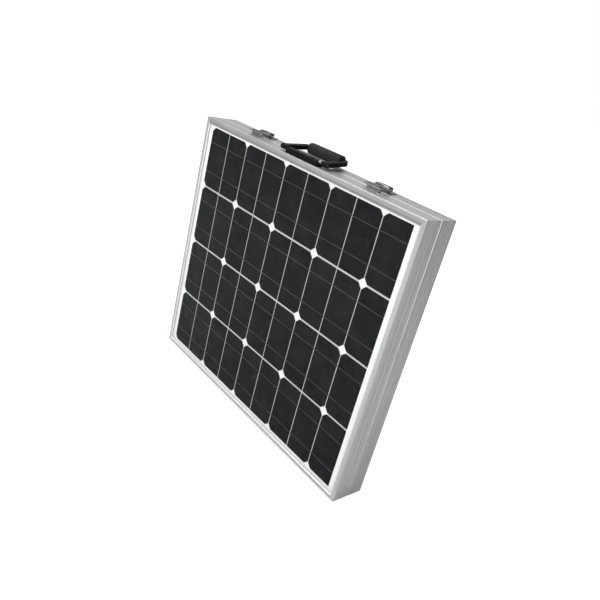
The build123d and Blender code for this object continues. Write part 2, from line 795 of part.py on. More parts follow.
def handle_screws():
    """Four pan-head screws with cross recesses, through the base into the top wall."""
    seat = TOP_Z + BASE_H - SCREW_HEAD_H - SCREW_SINK
    with BuildPart() as screws:
        with BuildSketch(at_height(seat)):
            with Locations(*[(x, HANDLE_Y) for x in SCREWS_X]):
                Circle(SCREW_HEAD_R)
        extrude(amount=SCREW_HEAD_H)
        fillet(edges().filter_by(GeomType.CIRCLE).group_by(Axis.Z)[-1], 1.4)
        with BuildSketch(at_height(seat + SCREW_HEAD_H)):
            with Locations(*[(x, HANDLE_Y) for x in SCREWS_X]):
                Rectangle(4.0, 0.9)
                Rectangle(0.9, 4.0)
        extrude(amount=-1.4, mode=Mode.SUBTRACT)
        with BuildSketch(at_height(seat)):
            with Locations(*[(x, HANDLE_Y) for x in SCREWS_X]):
                Circle(SCREW_R)
        extrude(amount=-(seat - TOP_Z + WALL + 3))
    return screws.part


# ---------------------------------------------------------------- toggle latches
def latch_base(x):
    """Steel plate on the rear module's top wall with two ears for the lever's pin."""
    ear_inside = LEVER_HALF_W + EAR_GAP
    front_y = LATCH_AXIS_Y - 6.5
    middle_y = (front_y + LATCH_PLATE_BACK) / 2
    with BuildPart() as base:
        with BuildSketch(at_height(TOP_Z)):
            with Locations((x, middle_y)):
                Rectangle(2 * LATCH_PLATE_HALF_W, LATCH_PLATE_BACK - front_y)
            fillet(vertices().group_by(Axis.Y)[-1], LATCH_PLATE_R)
            fillet(vertices().group_by(Axis.Y)[0], 2.0)
        extrude(amount=LATCH_PLATE_T)
        for end in (-1, 1):
            with BuildSketch(side_on(x + end * ear_inside)):
                with Locations((LATCH_AXIS_Y, LATCH_AXIS_Z)):
                    Circle(EAR_R)
                with Locations((LATCH_AXIS_Y, TOP_Z)):
                    Rectangle(2 * EAR_R, LATCH_AXIS_H, align=(Align.CENTER, Align.MIN))
                with Locations((LATCH_AXIS_Y, LATCH_AXIS_Z)):
                    Circle(LATCH_PIN_R + RUNNING_FIT, mode=Mode.SUBTRACT)
            extrude(amount=end * EAR_T)
        with BuildSketch(at_height(TOP_Z)):
            with Locations(*[(x + dx, y) for dx, y in LATCH_PLATE_RIVETS]):
                Circle(LATCH_RIVET_R + RUNNING_FIT)
        extrude(amount=LATCH_PLATE_T, mode=Mode.SUBTRACT)
    return base.part


def lever_body(x, profile, inset):
    """A side profile cut to the lever's plan outline, which is bowed at its thumb end."""
    half_w = LEVER_HALF_W - inset
    end_y = LEVER_END - inset
    shoulder_y = end_y - LEVER_BOW
    front_y = LATCH_AXIS_Y - 2 * EAR_R
    with BuildPart() as body:
        with BuildSketch(side_on(x)):
            with BuildLine():
                Polyline(*profile, close=True)
            make_face()
        extrude(amount=half_w, both=True)
        with BuildSketch(at_height(TOP_Z)):
            with BuildLine():
                Polyline(
                    (x - half_w, shoulder_y),
                    (x - half_w, front_y),
                    (x + half_w, front_y),
                    (x + half_w, shoulder_y),
                )
                ThreePointArc((x + half_w, shoulder_y), (x, end_y), (x - half_w, shoulder_y))
            make_face()
        extrude(amount=LEVER_END, mode=Mode.INTERSECT)
    return body.part


def latch_lever(x):
    """Pressed channel lever, pinned at its front, with a bowed thumb end."""
    top = TOP_Z + LEVER_TOP
    outside = [
        (LATCH_AXIS_Y + 0.5, top + LEVER_RISE),
        (LEVER_END - 4, top),
        (LEVER_END, top - 1.6),
        (LEVER_END, top - 3.2),
        (CRANK_Y + 4.5, top - 4.6),
        (CRANK_Y + 2.2, CRANK_Z - 2.0),
        (CRANK_Y - 1.0, CRANK_Z - 2.4),
        (LATCH_AXIS_Y - 1.0, LATCH_AXIS_Z - 2.6),
        (LATCH_AXIS_Y - 2.8, LATCH_AXIS_Z),
    ]
    inside = [
        (LATCH_AXIS_Y - 6, top + LEVER_RISE - LEVER_T),
        (LATCH_AXIS_Y + 0.5, top + LEVER_RISE - LEVER_T),
        (LEVER_END - 4.4, top - LEVER_T),
        (LEVER_END, top - 1.6 - LEVER_T),
        (LEVER_END, TOP_Z),
        (LATCH_AXIS_Y - 6, TOP_Z),
    ]
    blank = lever_body(x, outside, 0)
    hollow = lever_body(x, inside, LEVER_T)
    with BuildPart() as lever:
        add(blank)
        add(hollow, mode=Mode.SUBTRACT)
        with BuildSketch(side_on(x)):
            with Locations((LATCH_AXIS_Y, LATCH_AXIS_Z)):
                Circle(LATCH_PIN_R + RUNNING_FIT)
            with Locations((CRANK_Y, CRANK_Z)):
                Circle(LOOP_WIRE_R + RUNNING_FIT)
        extrude(amount=LEVER_HALF_W, both=True, mode=Mode.SUBTRACT)
    return lever.part


def latch_loop(x):
    """Bent steel wire: its ends hook into the lever, its front bar holds the keeper."""
    end_x = LEVER_HALF_W - LEVER_T - 1.2
    bar_z = TOP_Z + LOOP_FRONT_H
    start = (x - end_x, CRANK_Y, CRANK_Z)
    corners = [
        (x - LOOP_HALF_W, CRANK_Y, CRANK_Z),
        (x - LOOP_HALF_W, LOOP_FRONT, bar_z),
        (x + LOOP_HALF_W, LOOP_FRONT, bar_z),
        (x + LOOP_HALF_W, CRANK_Y, CRANK_Z),
    ]
    finish = (x + end_x, CRANK_Y, CRANK_Z)
    bends = (2.0, LOOP_CORNER_R, LOOP_CORNER_R, 2.0)
    with BuildPart() as loop:
        with BuildLine() as route:
            FilletPolyline(start, *corners, finish, radius=bends)
        with BuildSketch(Plane(origin=start, z_dir=(-1, 0, 0))):
            Circle(LOOP_WIRE_R)
        sweep(path=route.wires()[0])
    return loop.part


def latch_keeper(x):
    """Keeper plate on the front module's top wall with an upturned lip."""
    lip_front = LOOP_FRONT + LOOP_WIRE_R + 0.3
    with BuildPart() as keeper:
        with BuildSketch(at_height(TOP_Z)):
            with Locations((x, (lip_front + KEEPER_BACK) / 2)):
                Rectangle(2 * KEEPER_HALF_W, KEEPER_BACK - lip_front)
            fillet(vertices().group_by(Axis.Y)[-1], 3.0)
        extrude(amount=LATCH_PLATE_T)
        with BuildSketch(Plane(origin=(x, lip_front, 0), x_dir=(-1, 0, 0), z_dir=(0, 1, 0))):
            with Locations((0, TOP_Z)):
                Rectangle(KEEPER_LIP_W, KEEPER_LIP_H, align=(Align.CENTER, Align.MIN))
            fillet(vertices().group_by(Axis.Y)[-1], 2.5)
        extrude(amount=KEEPER_LIP_T)
        with BuildSketch(at_height(TOP_Z)):
            with Locations(
                (x - KEEPER_RIVET_X, KEEPER_RIVET_Y), (x + KEEPER_RIVET_X, KEEPER_RIVET_Y)
            ):
                Circle(LATCH_RIVET_R + RUNNING_FIT)
        extrude(amount=LATCH_PLATE_T, mode=Mode.SUBTRACT)
    return keeper.part


def latch_pins():
    """One pivot pin through the ears and lever of each latch."""
    reach = LEVER_HALF_W + EAR_GAP + EAR_T
    with BuildPart() as pins:
        for side in (-1, 1):
            x = side * LATCH_X
            with BuildSketch(side_on(x)):
                with Locations((LATCH_AXIS_Y, LATCH_AXIS_Z)):
                    Circle(LATCH_PIN_R)
            extrude(amount=reach, both=True)
            for end in (-1, 1):
                with BuildSketch(side_on(x + end * reach)):
                    with Locations((LATCH_AXIS_Y, LATCH_AXIS_Z)):
                        Circle(LATCH_PIN_R + 0.6)
                extrude(amount=end * 0.7)
    return pins.part


# ---------------------------------------------------------------- build every piece
def build_module(side):
    for edge in RAIL_PLANES:
        save_on_module(frame_rail(side, edge), side, f"rail_{edge}")
    laminate_inset = WALL + RUNNING_FIT + SEAL_T
    save_on_module(corner_keys(), side, "corner_keys")
    save_on_module(pane(FRONT_Y + LIP_T, GLASS_BACK_Y, laminate_inset), side, "glass")
    save_on_module(cell_array(), side, "cells")
    save_on_module(ribbons(), side, "ribbons")
    save_on_module(pane(SHEET_FRONT_Y, SHEET_BACK_Y, laminate_inset), side, "backsheet")
    save_on_module(laminate_seal(), side, "seal")
    save_on_module(junction_box_base(), side, "junction_box_base")
    save_on_module(junction_box_lid(), side, "junction_box_lid")
    save_on_module(cable_glands(), side, "cable_glands")
    save_on_module(feet(), side, "feet")
    save_on_module(stand_legs(), side, "stand_legs")
    save_on_module(stand_crossbar(), side, "stand_crossbar")
    save_on_module(stand_caps(), side, "stand_caps")
    save_on_module(stand_brackets(), side, "stand_brackets")
    save_on_module(stand_bolts(), side, "stand_bolts")


def build_hinges():
    save(hinge_leaves(-1, (0, 2, 4)), "hinge_front_leaves")
    save(hinge_leaves(1, (1, 3)), "hinge_rear_leaves")
    save(hinge_pins(), "hinge_pins")
    for sign, name in ((-1, "hinge_front_rivets"), (1, "hinge_rear_rivets")):
        rivets = domed_rivets(
            hinge_rivet_places(sign),
            LOW_Z - LEAF_T,
            -1,
            RIVET_HEAD_R,
            RIVET_HEAD_H,
            RIVET_R,
            LEAF_T + WALL,
            RIVET_TAIL,
        )
        save(rivets, name)


def build_handle():
    save(handle_base(), "handle_base")
    save(handle_bail(), "handle_bail")
    save(handle_grip(), "handle_grip")
    save(handle_pins(), "handle_pins")
    save(handle_spacers(), "handle_spacers")
    save(handle_screws(), "handle_screws")


def build_latches():
    for side, name in ((-1, "left"), (1, "right")):
        x = side * LATCH_X
        save(latch_base(x), f"{name}_latch_base")
        save(latch_lever(x), f"{name}_latch_lever")
        save(latch_loop(x), f"{name}_latch_loop")
        save(latch_keeper(x), f"{name}_latch_keeper")
    save(latch_pins(), "latch_pins")
    keeper_places = [(x, KEEPER_RIVET_Y) for x, depth, radius in KEEPER_HOLES]
    plate_places = [(s * LATCH_X + dx, y) for s in (-1, 1) for dx, y in LATCH_PLATE_RIVETS]
    for places, name in ((keeper_places, "keeper_rivets"), (plate_places, "latch_base_rivets")):
        rivets = domed_rivets(
            places,
            TOP_Z + LATCH_PLATE_T,
            1,
            LATCH_RIVET_HEAD_R,
            LATCH_RIVET_HEAD_H,
            LATCH_RIVET_R,
            LATCH_PLATE_T + WALL,
            2.0,
        )
        save(rivets, name)


os.makedirs("parts", exist_ok=True)
build_module(FRONT)
build_module(REAR)
build_hinges()
build_handle()
build_latches()
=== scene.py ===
import json
import math

import bpy
from mathutils import Matrix, Vector, noise


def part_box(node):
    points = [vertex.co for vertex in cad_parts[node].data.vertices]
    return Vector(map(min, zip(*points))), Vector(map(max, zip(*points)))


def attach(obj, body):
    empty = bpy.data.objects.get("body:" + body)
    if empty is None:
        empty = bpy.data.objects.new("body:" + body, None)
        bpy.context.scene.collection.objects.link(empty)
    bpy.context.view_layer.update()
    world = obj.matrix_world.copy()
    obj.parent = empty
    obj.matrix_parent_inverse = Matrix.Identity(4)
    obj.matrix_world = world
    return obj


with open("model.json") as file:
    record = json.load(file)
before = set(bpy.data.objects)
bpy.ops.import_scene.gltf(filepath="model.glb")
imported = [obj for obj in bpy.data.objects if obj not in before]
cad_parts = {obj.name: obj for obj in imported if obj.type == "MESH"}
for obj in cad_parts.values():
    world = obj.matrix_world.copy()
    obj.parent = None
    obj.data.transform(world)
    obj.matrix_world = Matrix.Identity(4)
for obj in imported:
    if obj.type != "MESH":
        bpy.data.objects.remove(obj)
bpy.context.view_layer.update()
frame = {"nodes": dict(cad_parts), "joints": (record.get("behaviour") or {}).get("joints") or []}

NODES = frame["nodes"]
MM = 0.001
LIP_WIDTH = 8.8 * MM
COLUMN_PITCH = 64.3 * MM
ROW_PITCH = 128.6 * MM

# ---------------------------------------------------------------- camera and surroundings
# The view is from the front right and above, rolled clockwise.
CAMERA_PLACE = Vector((0.8422, -0.7892, 0.7469))
CAMERA_AZIMUTH = 44.68
CAMERA_ELEVATION = 23.22
CAMERA_ROLL = -14.94
CAMERA_LENS = 37.02
CAMERA_SENSOR = 36.0
CAMERA_SHIFT = (0.0034, 0.0162)
CAMERA_NEAREST = 0.05
FLOOR_SIZE = 60.0
FLOOR_WHITE = 0.92
FLOOR_UNEVENNESS = 0.01
FLOOR_GLOW = 0.85
STUDIO_WHITE = 0.72
STUDIO_DARK = 0.06
STUDIO_BRIGHT_SIDE = (-0.75, 0.45, 0.48)
STUDIO_FALL = (-0.2, 0.6)
STUDIO_MIDDLE = (0.0, 0.0, 0.3)
# Each light's name, place, target, size and power in watts.
STUDIO_LIGHTS = (
    ("key", (2.7, -2.1, 1.2), STUDIO_MIDDLE, (1.2, 1.0), 34.0),
    ("front", (0.6, -3.2, 1.4), STUDIO_MIDDLE, (2.4, 1.6), 16.0),
    ("overhead", (-0.5, -1.0, 1.9), (-0.4, -0.6, 0.0), (1.2, 1.2), 26.0),
)

# ---------------------------------------------------------------- shader building
# Sockets of a colour Mix node, whose names are not unique.
MIX_FIRST, MIX_SECOND, MIX_RESULT = 6, 7, 2
# Ranges of a noise: nearly all of its values, its middle, and its upper parts.
NOISE_SPAN = (0.3, 0.7)
NOISE_CORE = (0.35, 0.65)
NOISE_UPPER = (0.35, 0.7)
NOISE_PEAKS = (0.5, 0.75)
# Where an edge begins and where it is full, as the cosine of how far its normal has turned.
SHARP_EDGE_TURN = (0.97, 0.80)
ROUNDED_EDGE_TURN = (0.98, 0.82)
# How dark the painted shadow under the top lip gets.
LIP_SHADOW_STRENGTH = 0.9


class Shader:
    """A Principled material whose node tree is built up by short calls."""

    def __init__(self, name):
        self.material = bpy.data.materials.new(name)
        self.material.use_nodes = True
        self.tree = self.material.node_tree
        self.surface = self.tree.nodes["Principled BSDF"]
        self.place = None

    def set(self, **values):
        """Set plain values on the surface: names are socket names with _ for space."""
        for key, value in values.items():
            self.surface.inputs[key.replace("_", " ")].default_value = value

    def node(self, kind, **settings):
        made = self.tree.nodes.new("ShaderNode" + kind)
        for key, value in settings.items():
            setattr(made, key, value)
        return made

    def link(self, source, target):
        self.tree.links.new(source, target)

    def feed(self, socket, value):
        """Give a socket a number, a colour of three numbers or another socket's output."""
        if isinstance(value, (int, float)):
            socket.default_value = value
        elif isinstance(value, tuple):
            socket.default_value = (*value, 1.0)
        else:
            self.link(value, socket)

    def position(self):
        """Coordinates in the row frame, in metres."""
        if self.place is None:
            self.place = self.node("TexCoord").outputs["Object"]
        return self.place

    def split(self, vector):
        """The outputs X, Y and Z of a vector."""
        parts = self.node("SeparateXYZ")
        self.link(vector, parts.inputs[0])
        return parts.outputs

    def facing(self):
        """The outputs X, Y and Z of the surface's normal."""
        return self.split(self.node("TexCoord").outputs["Normal"])

    def height(self):
        """Height over the floor, in metres."""
        return self.split(self.position())["Z"]

    def noise(self, scale, detail=3.0, roughness=0.55, stretch=(1, 1, 1)):
        """Noise of a scale in cells per metre, on a position stretched along each axis."""
        mapping = self.node("Mapping")
        mapping.inputs["Scale"].default_value = stretch
        self.link(self.position(), mapping.inputs["Vector"])
        texture = self.node("TexNoise")
        texture.inputs["Scale"].default_value = scale
        texture.inputs["Detail"].default_value = detail
        texture.inputs["Roughness"].default_value = roughness
        self.link(mapping.outputs["Vector"], texture.inputs["Vector"])
        return texture.outputs["Fac"]

    def remap(self, value, source, target=(0.0, 1.0)):
        """Map a range to another, clamped."""
        made = self.node("MapRange")
        made.inputs["From Min"].default_value, made.inputs["From Max"].default_value = source
        made.inputs["To Min"].default_value, made.inputs["To Max"].default_value = target
        self.link(value, made.inputs["Value"])
        return made.outputs["Result"]

    def math(self, operation, first, second=0.0):
        made = self.node("Math", operation=operation)
        self.feed(made.inputs[0], first)
        self.feed(made.inputs[1], second)
        return made.outputs[0]

    def mix(self, factor, first, second):
        """Blend two colours by a factor."""
        made = self.node("Mix", data_type="RGBA")
        self.feed(made.inputs["Factor"], factor)
        self.feed(made.inputs[MIX_FIRST], first)
        self.feed(made.inputs[MIX_SECOND], second)
        return made.outputs[MIX_RESULT]

    def mottle(self, texture, source, first, second, most=1.0):
        """Blend two colours as a texture runs through a range, up to the largest factor."""
        return self.mix(self.remap(texture, source, (0.0, most)), first, second)

    def lip_shadow_below_top(self, clean, dirty):
        """A factor for the painted shadow under the top lip: it grows from 0 between two distances
        below the top of the frame.
        """
        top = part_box("front_rail_top")[1].z
        return self.remap(self.height(), (top - clean, top - dirty), (0.0, LIP_SHADOW_STRENGTH))

    def base(self, colour):
        self.feed(self.surface.inputs["Base Color"], colour)

    def rough(self, value):
        self.feed(self.surface.inputs["Roughness"], value)

    def rough_over(self, texture, smooth, coarse):
        """Let the roughness follow a noise."""
        self.rough(self.remap(texture, NOISE_SPAN, (smooth, coarse)))

    def bump(self, height, depth, strength):
        """Add a bump of a depth in metres, on top of any bump before it."""
        made = self.node("Bump")
        made.inputs["Strength"].default_value = strength
        made.inputs["Distance"].default_value = depth
        self.link(height, made.inputs["Height"])
        normal = self.surface.inputs["Normal"]
        if normal.is_linked:
            self.link(normal.links[0].from_socket, made.inputs["Normal"])
        self.link(made.outputs["Normal"], normal)

    def sharp_edges(self, radius):
        """A factor that is 1 on sharp edges and 0 on flat faces."""
        bevel = self.node("Bevel", samples=4)
        bevel.inputs["Radius"].default_value = radius
        geometry = self.node("NewGeometry")
        dot = self.node("VectorMath", operation="DOT_PRODUCT")
        self.link(bevel.outputs["Normal"], dot.inputs[0])
        self.link(geometry.outputs["Normal"], dot.inputs[1])
        return self.remap(dot.outputs["Value"], SHARP_EDGE_TURN)

    def rounded_edges(self):
        """A factor that is 1 on rounded edges of a piece whose faces are all square to its axes."""
        facing = self.facing()
        largest = 0.0
        for axis in ("X", "Y", "Z"):
            largest = self.math("MAXIMUM", self.math("ABSOLUTE", facing[axis]), largest)
        return self.remap(largest, ROUNDED_EDGE_TURN)


def grey(value):
    return (value, value, value)


# ---------------------------------------------------------------- materials
# Painted shade along the inner edge of the top lip: how far it reaches and how dark it gets.
LIP_SHADE_REACH = 4.5 * MM
LIP_SHADE_STRENGTH = 0.62
SILICON_DARK = (0.0110, 0.0112, 0.0125)
SILICON_LIGHT = (0.0150, 0.0152, 0.0165)
SILICON_CLOUD = (0.0210, 0.0212, 0.0225)
FINGER_PITCH = 2.0 * MM
FINGER_HALF_SHARE = 0.05
FINGER_TONE = 0.016
DIAMOND_REACH = (9 * MM, 13 * MM)
ARRAY_EDGE = 1 * MM
# Painted shade in the narrow gaps between cells.
GAP_SHADE_TONE = 0.56
GLASS_TINT = (0.93, 0.96, 1.0, 1.0)
GLASS_CLEAR = (0.985, 0.99, 0.985, 1.0)
GLASS_GLANCE_POWER = 5.0
GLASS_GLANCE_MOST = 0.4
PLASTIC_GRAIN = 1400.0


def anodised_aluminium(name, stretch, tone, arris=1.1, arris_foot=None, shaded_lip=False):
    """Extruded, clear anodised aluminium with die lines that run along the rail.

    Edges are lighter, as worn edges and as a painted highlight, and that tone may change towards the
    foot of the rail. A shaded lip gets a band of painted shade along its inner edge.
    """
    shader = Shader(name)
    shader.set(Metallic=0.85)
    fine = shader.noise(1.0, 4.0, 0.6, stretch)
    coarse = shader.noise(0.45, 2.0, 0.5, stretch)
    clouds = shader.noise(9.0)
    grain = shader.noise(2600.0, 2.0)
    metal = shader.mottle(fine, NOISE_CORE, grey(tone * 0.88), grey(tone * 1.08))
    drawn = shader.remap(coarse, (0.36, 0.64))
    metal = shader.mix(shader.math("MULTIPLY", drawn, 0.85), metal, grey(tone * 0.74))
    metal = shader.mottle(clouds, (0.42, 0.7), metal, grey(tone * 0.86), 0.22)
    low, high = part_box("front_rail_left")
    # Painted shade: a dark band along the inner edge of the lip, where the lip's own shadow falls.
    if shaded_lip:
        inner = high.z - LIP_WIDTH
        lip_shade = shader.remap(shader.height(), (inner + LIP_SHADE_REACH, inner), (0.0, LIP_SHADE_STRENGTH))
        metal = shader.mix(lip_shade, metal, grey(tone * 0.45))
    # Painted highlight, mixed with wear: edges take a lighter tone, which arris_foot can make change
    # with height to follow the light.
    edge_tone = grey(min(1.0, tone * arris))
    if arris_foot is not None:
        climb = shader.remap(shader.height(), (low.z, high.z))
        edge_tone = shader.mix(climb, grey(tone * arris_foot), edge_tone)
    worn_and_highlit_edges = shader.math("MAXIMUM", shader.sharp_edges(0.5 * MM), shader.rounded_edges())
    shader.base(shader.mix(worn_and_highlit_edges, metal, edge_tone))
    haze = shader.remap(clouds, NOISE_SPAN, (0.33, 0.44))
    shader.rough(shader.math("ADD", haze, shader.remap(fine, NOISE_SPAN, (-0.03, 0.04))))
    shader.bump(fine, 0.03 * MM, 0.5)
    shader.bump(grain, 0.01 * MM, 0.2)
    return shader.material


def solar_glass(name):
    """Coated low-iron cover glass: clear from the front, with a gloss that grows at a glance."""
    shader = Shader(name)
    film = shader.noise(7.0, 4.0)
    shader.rough(shader.remap(film, NOISE_UPPER, (0.06, 0.15)))
    shader.set(Metallic=1.0, Base_Color=GLASS_TINT)
    clear = shader.node("BsdfTransparent")
    clear.inputs["Color"].default_value = GLASS_CLEAR
    turned = shader.node("LayerWeight").outputs["Facing"]
    glance = shader.math("POWER", turned, GLASS_GLANCE_POWER)
    joined = shader.node("MixShader")
    shader.link(shader.remap(glance, (0.05, 0.6), (0.0, GLASS_GLANCE_MOST)), joined.inputs[0])
    shader.link(clear.outputs[0], joined.inputs[1])
    shader.link(shader.surface.outputs[0], joined.inputs[2])
    output = shader.tree.nodes["Material Output"]
    shader.link(joined.outputs[0], output.inputs["Surface"])
    return shader.material


def silicon_cells(name):
    """Blue-black wafers with fine finger lines and a slight change from cell to cell."""
    shader = Shader(name)
    parts = shader.split(shader.position())
    across, up = parts["X"], parts["Z"]
    column = shader.math("FLOOR", shader.math("ADD", shader.math("DIVIDE", across, COLUMN_PITCH), 0.5))
    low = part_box("front_cells")[0].z
    row = shader.math("FLOOR", shader.math("DIVIDE", shader.math("SUBTRACT", up, low), ROW_PITCH))
    joined = shader.node("CombineXYZ")
    shader.link(column, joined.inputs[0])
    shader.link(row, joined.inputs[1])
    random = shader.node("TexWhiteNoise", noise_dimensions="2D")
    shader.link(joined.outputs[0], random.inputs["Vector"])
    silicon = shader.mix(random.outputs["Value"], SILICON_DARK, SILICON_LIGHT)
    cloud = shader.noise(26.0, 4.0)
    silicon = shader.mottle(cloud, (0.45, 0.68), silicon, SILICON_CLOUD, 0.8)
    wave = shader.math("FRACT", shader.math("DIVIDE", across, FINGER_PITCH))
    offset = shader.math("ABSOLUTE", shader.math("SUBTRACT", wave, 0.5))
    finger = shader.math("LESS_THAN", offset, FINGER_HALF_SHARE)
    shader.base(shader.mix(finger, silicon, grey(FINGER_TONE)))
    shader.rough_over(cloud, 0.16, 0.26)
    shader.set(Specular_IOR_Level=0.06)
    return shader.material


def tinned_ribbon(name):
    """Dull flattened solder over copper."""
    shader = Shader(name)
    shader.set(Metallic=0.7)
    ripple = shader.noise(500.0, 3.0, 0.6, (0.15, 1, 1))
    shader.base(shader.mottle(ripple, NOISE_UPPER, grey(0.05), grey(0.09)))
    shader.rough_over(ripple, 0.35, 0.55)
    shader.bump(ripple, 0.03 * MM, 0.6)
    return shader.material


def gap_lines(shader):
    """A factor that is 1 in the narrow gaps between cells, where shade is painted.

    It is 0 in the diamonds, in the margin and on the back of the sheet.
    """
    low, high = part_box("front_cells")
    middle = (low.z + high.z) / 2
    parts = shader.split(shader.position())
    module = shader.math("SIGN", parts["Y"])
    across = shader.math("SUBTRACT", high.x, shader.math("MULTIPLY", parts["X"], module))
    up = shader.math("SUBTRACT", parts["Z"], middle)
    to_diamond = shader.math("PINGPONG", across, ROW_PITCH / 2)
    to_row = shader.math("PINGPONG", up, ROW_PITCH / 2)
    narrow = shader.remap(shader.math("ADD", to_diamond, to_row), DIAMOND_REACH)
    in_height = shader.math("LESS_THAN", shader.math("ABSOLUTE", up), high.z - middle - ARRAY_EDGE)
    in_width = shader.math("LESS_THAN", shader.math("ABSOLUTE", parts["X"]), high.x - ARRAY_EDGE)
    outwards = shader.math("MULTIPLY", shader.facing()["Y"], module)
    on_face = shader.math("GREATER_THAN", outwards, 0.5)
    in_array = shader.math("MULTIPLY", in_height, in_width)
    return shader.math("MULTIPLY", narrow, shader.math("MULTIPLY", in_array, on_face))


def white_film(name):
    """Backsheet: white polymer film with a light emboss and faint handling marks.

    It has painted shade: greyer in the narrow gaps between cells, and a painted shadow under the top
    lip.
    """
    shader = Shader(name)
    weave = shader.noise(1500.0, 2.0)
    marks = shader.noise(12.0, 5.0, 0.6)
    film = shader.mottle(marks, NOISE_PEAKS, grey(0.94), grey(0.88), 0.5)
    # Painted shade: the narrow gaps between cells are greyer.
    film = shader.mix(gap_lines(shader), film, grey(GAP_SHADE_TONE))
    # Painted shadow of the top lip: the film turns dark just under it.
    shader.base(shader.mix(shader.lip_shadow_below_top(14.5 * MM, 12.5 * MM), film, grey(0.32)))
    shader.rough_over(weave, 0.45, 0.6)
    shader.bump(weave, 0.02 * MM, 0.5)
    return shader.material


def moulded_plastic(name, tone):
    """Black moulded plastic with spark-eroded grain, and paler edges that are both wear and a painted
    highlight.
    """
    shader = Shader(name)
    grain = shader.node("TexVoronoi")
    grain.inputs["Scale"].default_value = PLASTIC_GRAIN
    shader.link(shader.position(), grain.inputs["Vector"])
    cloud = shader.noise(60.0)
    plain = shader.mottle(cloud, NOISE_UPPER, grey(tone * 0.85), grey(tone * 1.2))
    # Paler edges: wear and a painted highlight.
    shader.base(shader.mix(shader.sharp_edges(0.7 * MM), plain, grey(tone * 2.0)))
    shader.rough_over(cloud, 0.45, 0.58)
    shader.bump(grain.outputs["Distance"], 0.03 * MM, 0.5)
    shader.set(Specular_IOR_Level=0.12)
    return shader.material


def rubber(name, tone):
    """Matt rubber with a fine random grain and dust."""
    shader = Shader(name)
    grain = shader.noise(1800.0)
    dust = shader.noise(45.0, 4.0)
    shader.base(shader.mottle(dust, NOISE_PEAKS, grey(tone), grey(tone * 2.4), 0.5))
    shader.rough_over(grain, 0.62, 0.82)
    shader.bump(grain, 0.04 * MM, 0.5)
    shader.set(Specular_IOR_Level=0.2)
    return shader.material


def silicone(name):
    """Smooth white sealant, a little dusty, with a painted shadow that darkens it under the top lip.
    """
    shader = Shader(name)
    dust = shader.noise(80.0, 4.0)
    ripple = shader.noise(420.0, 2.0)
    white = shader.mottle(dust, (0.45, 0.75), grey(0.84), grey(0.72))
    # Painted shadow of the top lip: the bead turns dark under it.
    shader.base(shader.mix(shader.lip_shadow_below_top(12.5 * MM, 11.5 * MM), white, grey(0.2)))
    shader.rough_over(ripple, 0.32, 0.5)
    shader.bump(ripple, 0.05 * MM, 0.4)
    return shader.material


def plated_steel(name, tone, roughness, warmth=0.0):
    """Plated sheet steel: soft spangle, fine rolling lines, and bright edges that are both wear and a
    painted highlight.
    """
    shader = Shader(name)
    shader.set(Metallic=1.0)
    spangle = shader.noise(260.0, 2.0)
    lines = shader.noise(1.0, 3.0, 0.6, (160, 2600, 2600))
    light = (tone * (1 + warmth), tone, tone * (1 - warmth))
    dark = tuple(0.78 * channel for channel in light)
    metal = shader.mottle(spangle, NOISE_CORE, dark, light)
    # Bright edges: wear and a painted highlight.
    bright = grey(min(1.0, tone * 1.35))
    shader.base(shader.mix(shader.sharp_edges(0.3 * MM), metal, bright))
    shader.rough_over(lines, roughness - 0.06, roughness + 0.08)
    shader.bump(lines, 0.008 * MM, 0.5)
    return shader.material


def dark_collar_with_painted_highlight(name):
    """Dark greased steel, with a painted highlight of lighter steel on the upper half of the
    right-hand collar.
    """
    shader = Shader(name)
    shader.set(Metallic=1.0)
    smears = shader.noise(420.0)
    parts = shader.split(shader.position())
    low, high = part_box("handle_spacers")
    middle = (low.z + high.z) / 2
    # Painted highlight: the lighter steel shows only on the upper half of the right-hand collar, where
    # the light falls.
    upper = shader.remap(parts["Z"], (middle - 0.5 * MM, middle + 1.5 * MM))
    right = shader.math("GREATER_THAN", parts["X"], 0.0)
    painted_glint_mask = shader.math("MULTIPLY", upper, right)
    steel = shader.mottle(smears, NOISE_CORE, grey(0.3), grey(0.42))
    shader.base(shader.mix(painted_glint_mask, grey(0.012), steel))
    shader.rough_over(smears, 0.34, 0.5)
    return shader.material


# Noise cells per metre along X, Y and Z: few along the rail, many across it.
RAIL_X = (3.0, 700.0, 700.0)
RAIL_Z = (700.0, 700.0, 3.0)
MATERIALS = {
    "aluminium_across": anodised_aluminium("aluminium_across", RAIL_X, 0.65),
    "aluminium_upright": anodised_aluminium("aluminium_upright", RAIL_Z, 0.65),
    # The top rail carries a band of painted shade along its lip.
    "top_aluminium": anodised_aluminium("top_aluminium", RAIL_X, 0.64, shaded_lip=True),
    # The rear rails are a darker copy, painted shade for lying further from the lights; their uprights
    # carry a strong painted highlight on the edges, weaker at the foot.
    "rear_aluminium_across": anodised_aluminium("rear_aluminium_across", RAIL_X, 0.6),
    "rear_aluminium_upright": anodised_aluminium("rear_aluminium_upright", RAIL_Z, 0.6, 1.65, 0.85),
    "stand_across": anodised_aluminium("stand_across", RAIL_X, 0.62),
    "stand_upright": anodised_aluminium("stand_upright", RAIL_Z, 0.62),
    "solar_glass": solar_glass("solar_glass"),
    "silicon": silicon_cells("silicon"),
    "ribbon": tinned_ribbon("ribbon"),
    "backsheet": white_film("backsheet"),
    "seal": silicone("seal"),
    "housing": moulded_plastic("housing", 0.018),
    "handle": moulded_plastic("handle", 0.003),
    "grip": rubber("grip", 0.02),
    "foot": rubber("foot", 0.02),
    "latch": plated_steel("latch", 0.32, 0.42),
    "lever": plated_steel("lever", 0.22, 0.46),
    "hinge": plated_steel("hinge", 0.55, 0.36, warmth=0.02),
    "fastener": plated_steel("fastener", 0.6, 0.3),
    "dark_fastener": plated_steel("dark_fastener", 0.09, 0.42),
    "spacer": dark_collar_with_painted_highlight("spacer"),
    "spring": plated_steel("spring", 0.26, 0.4),
}

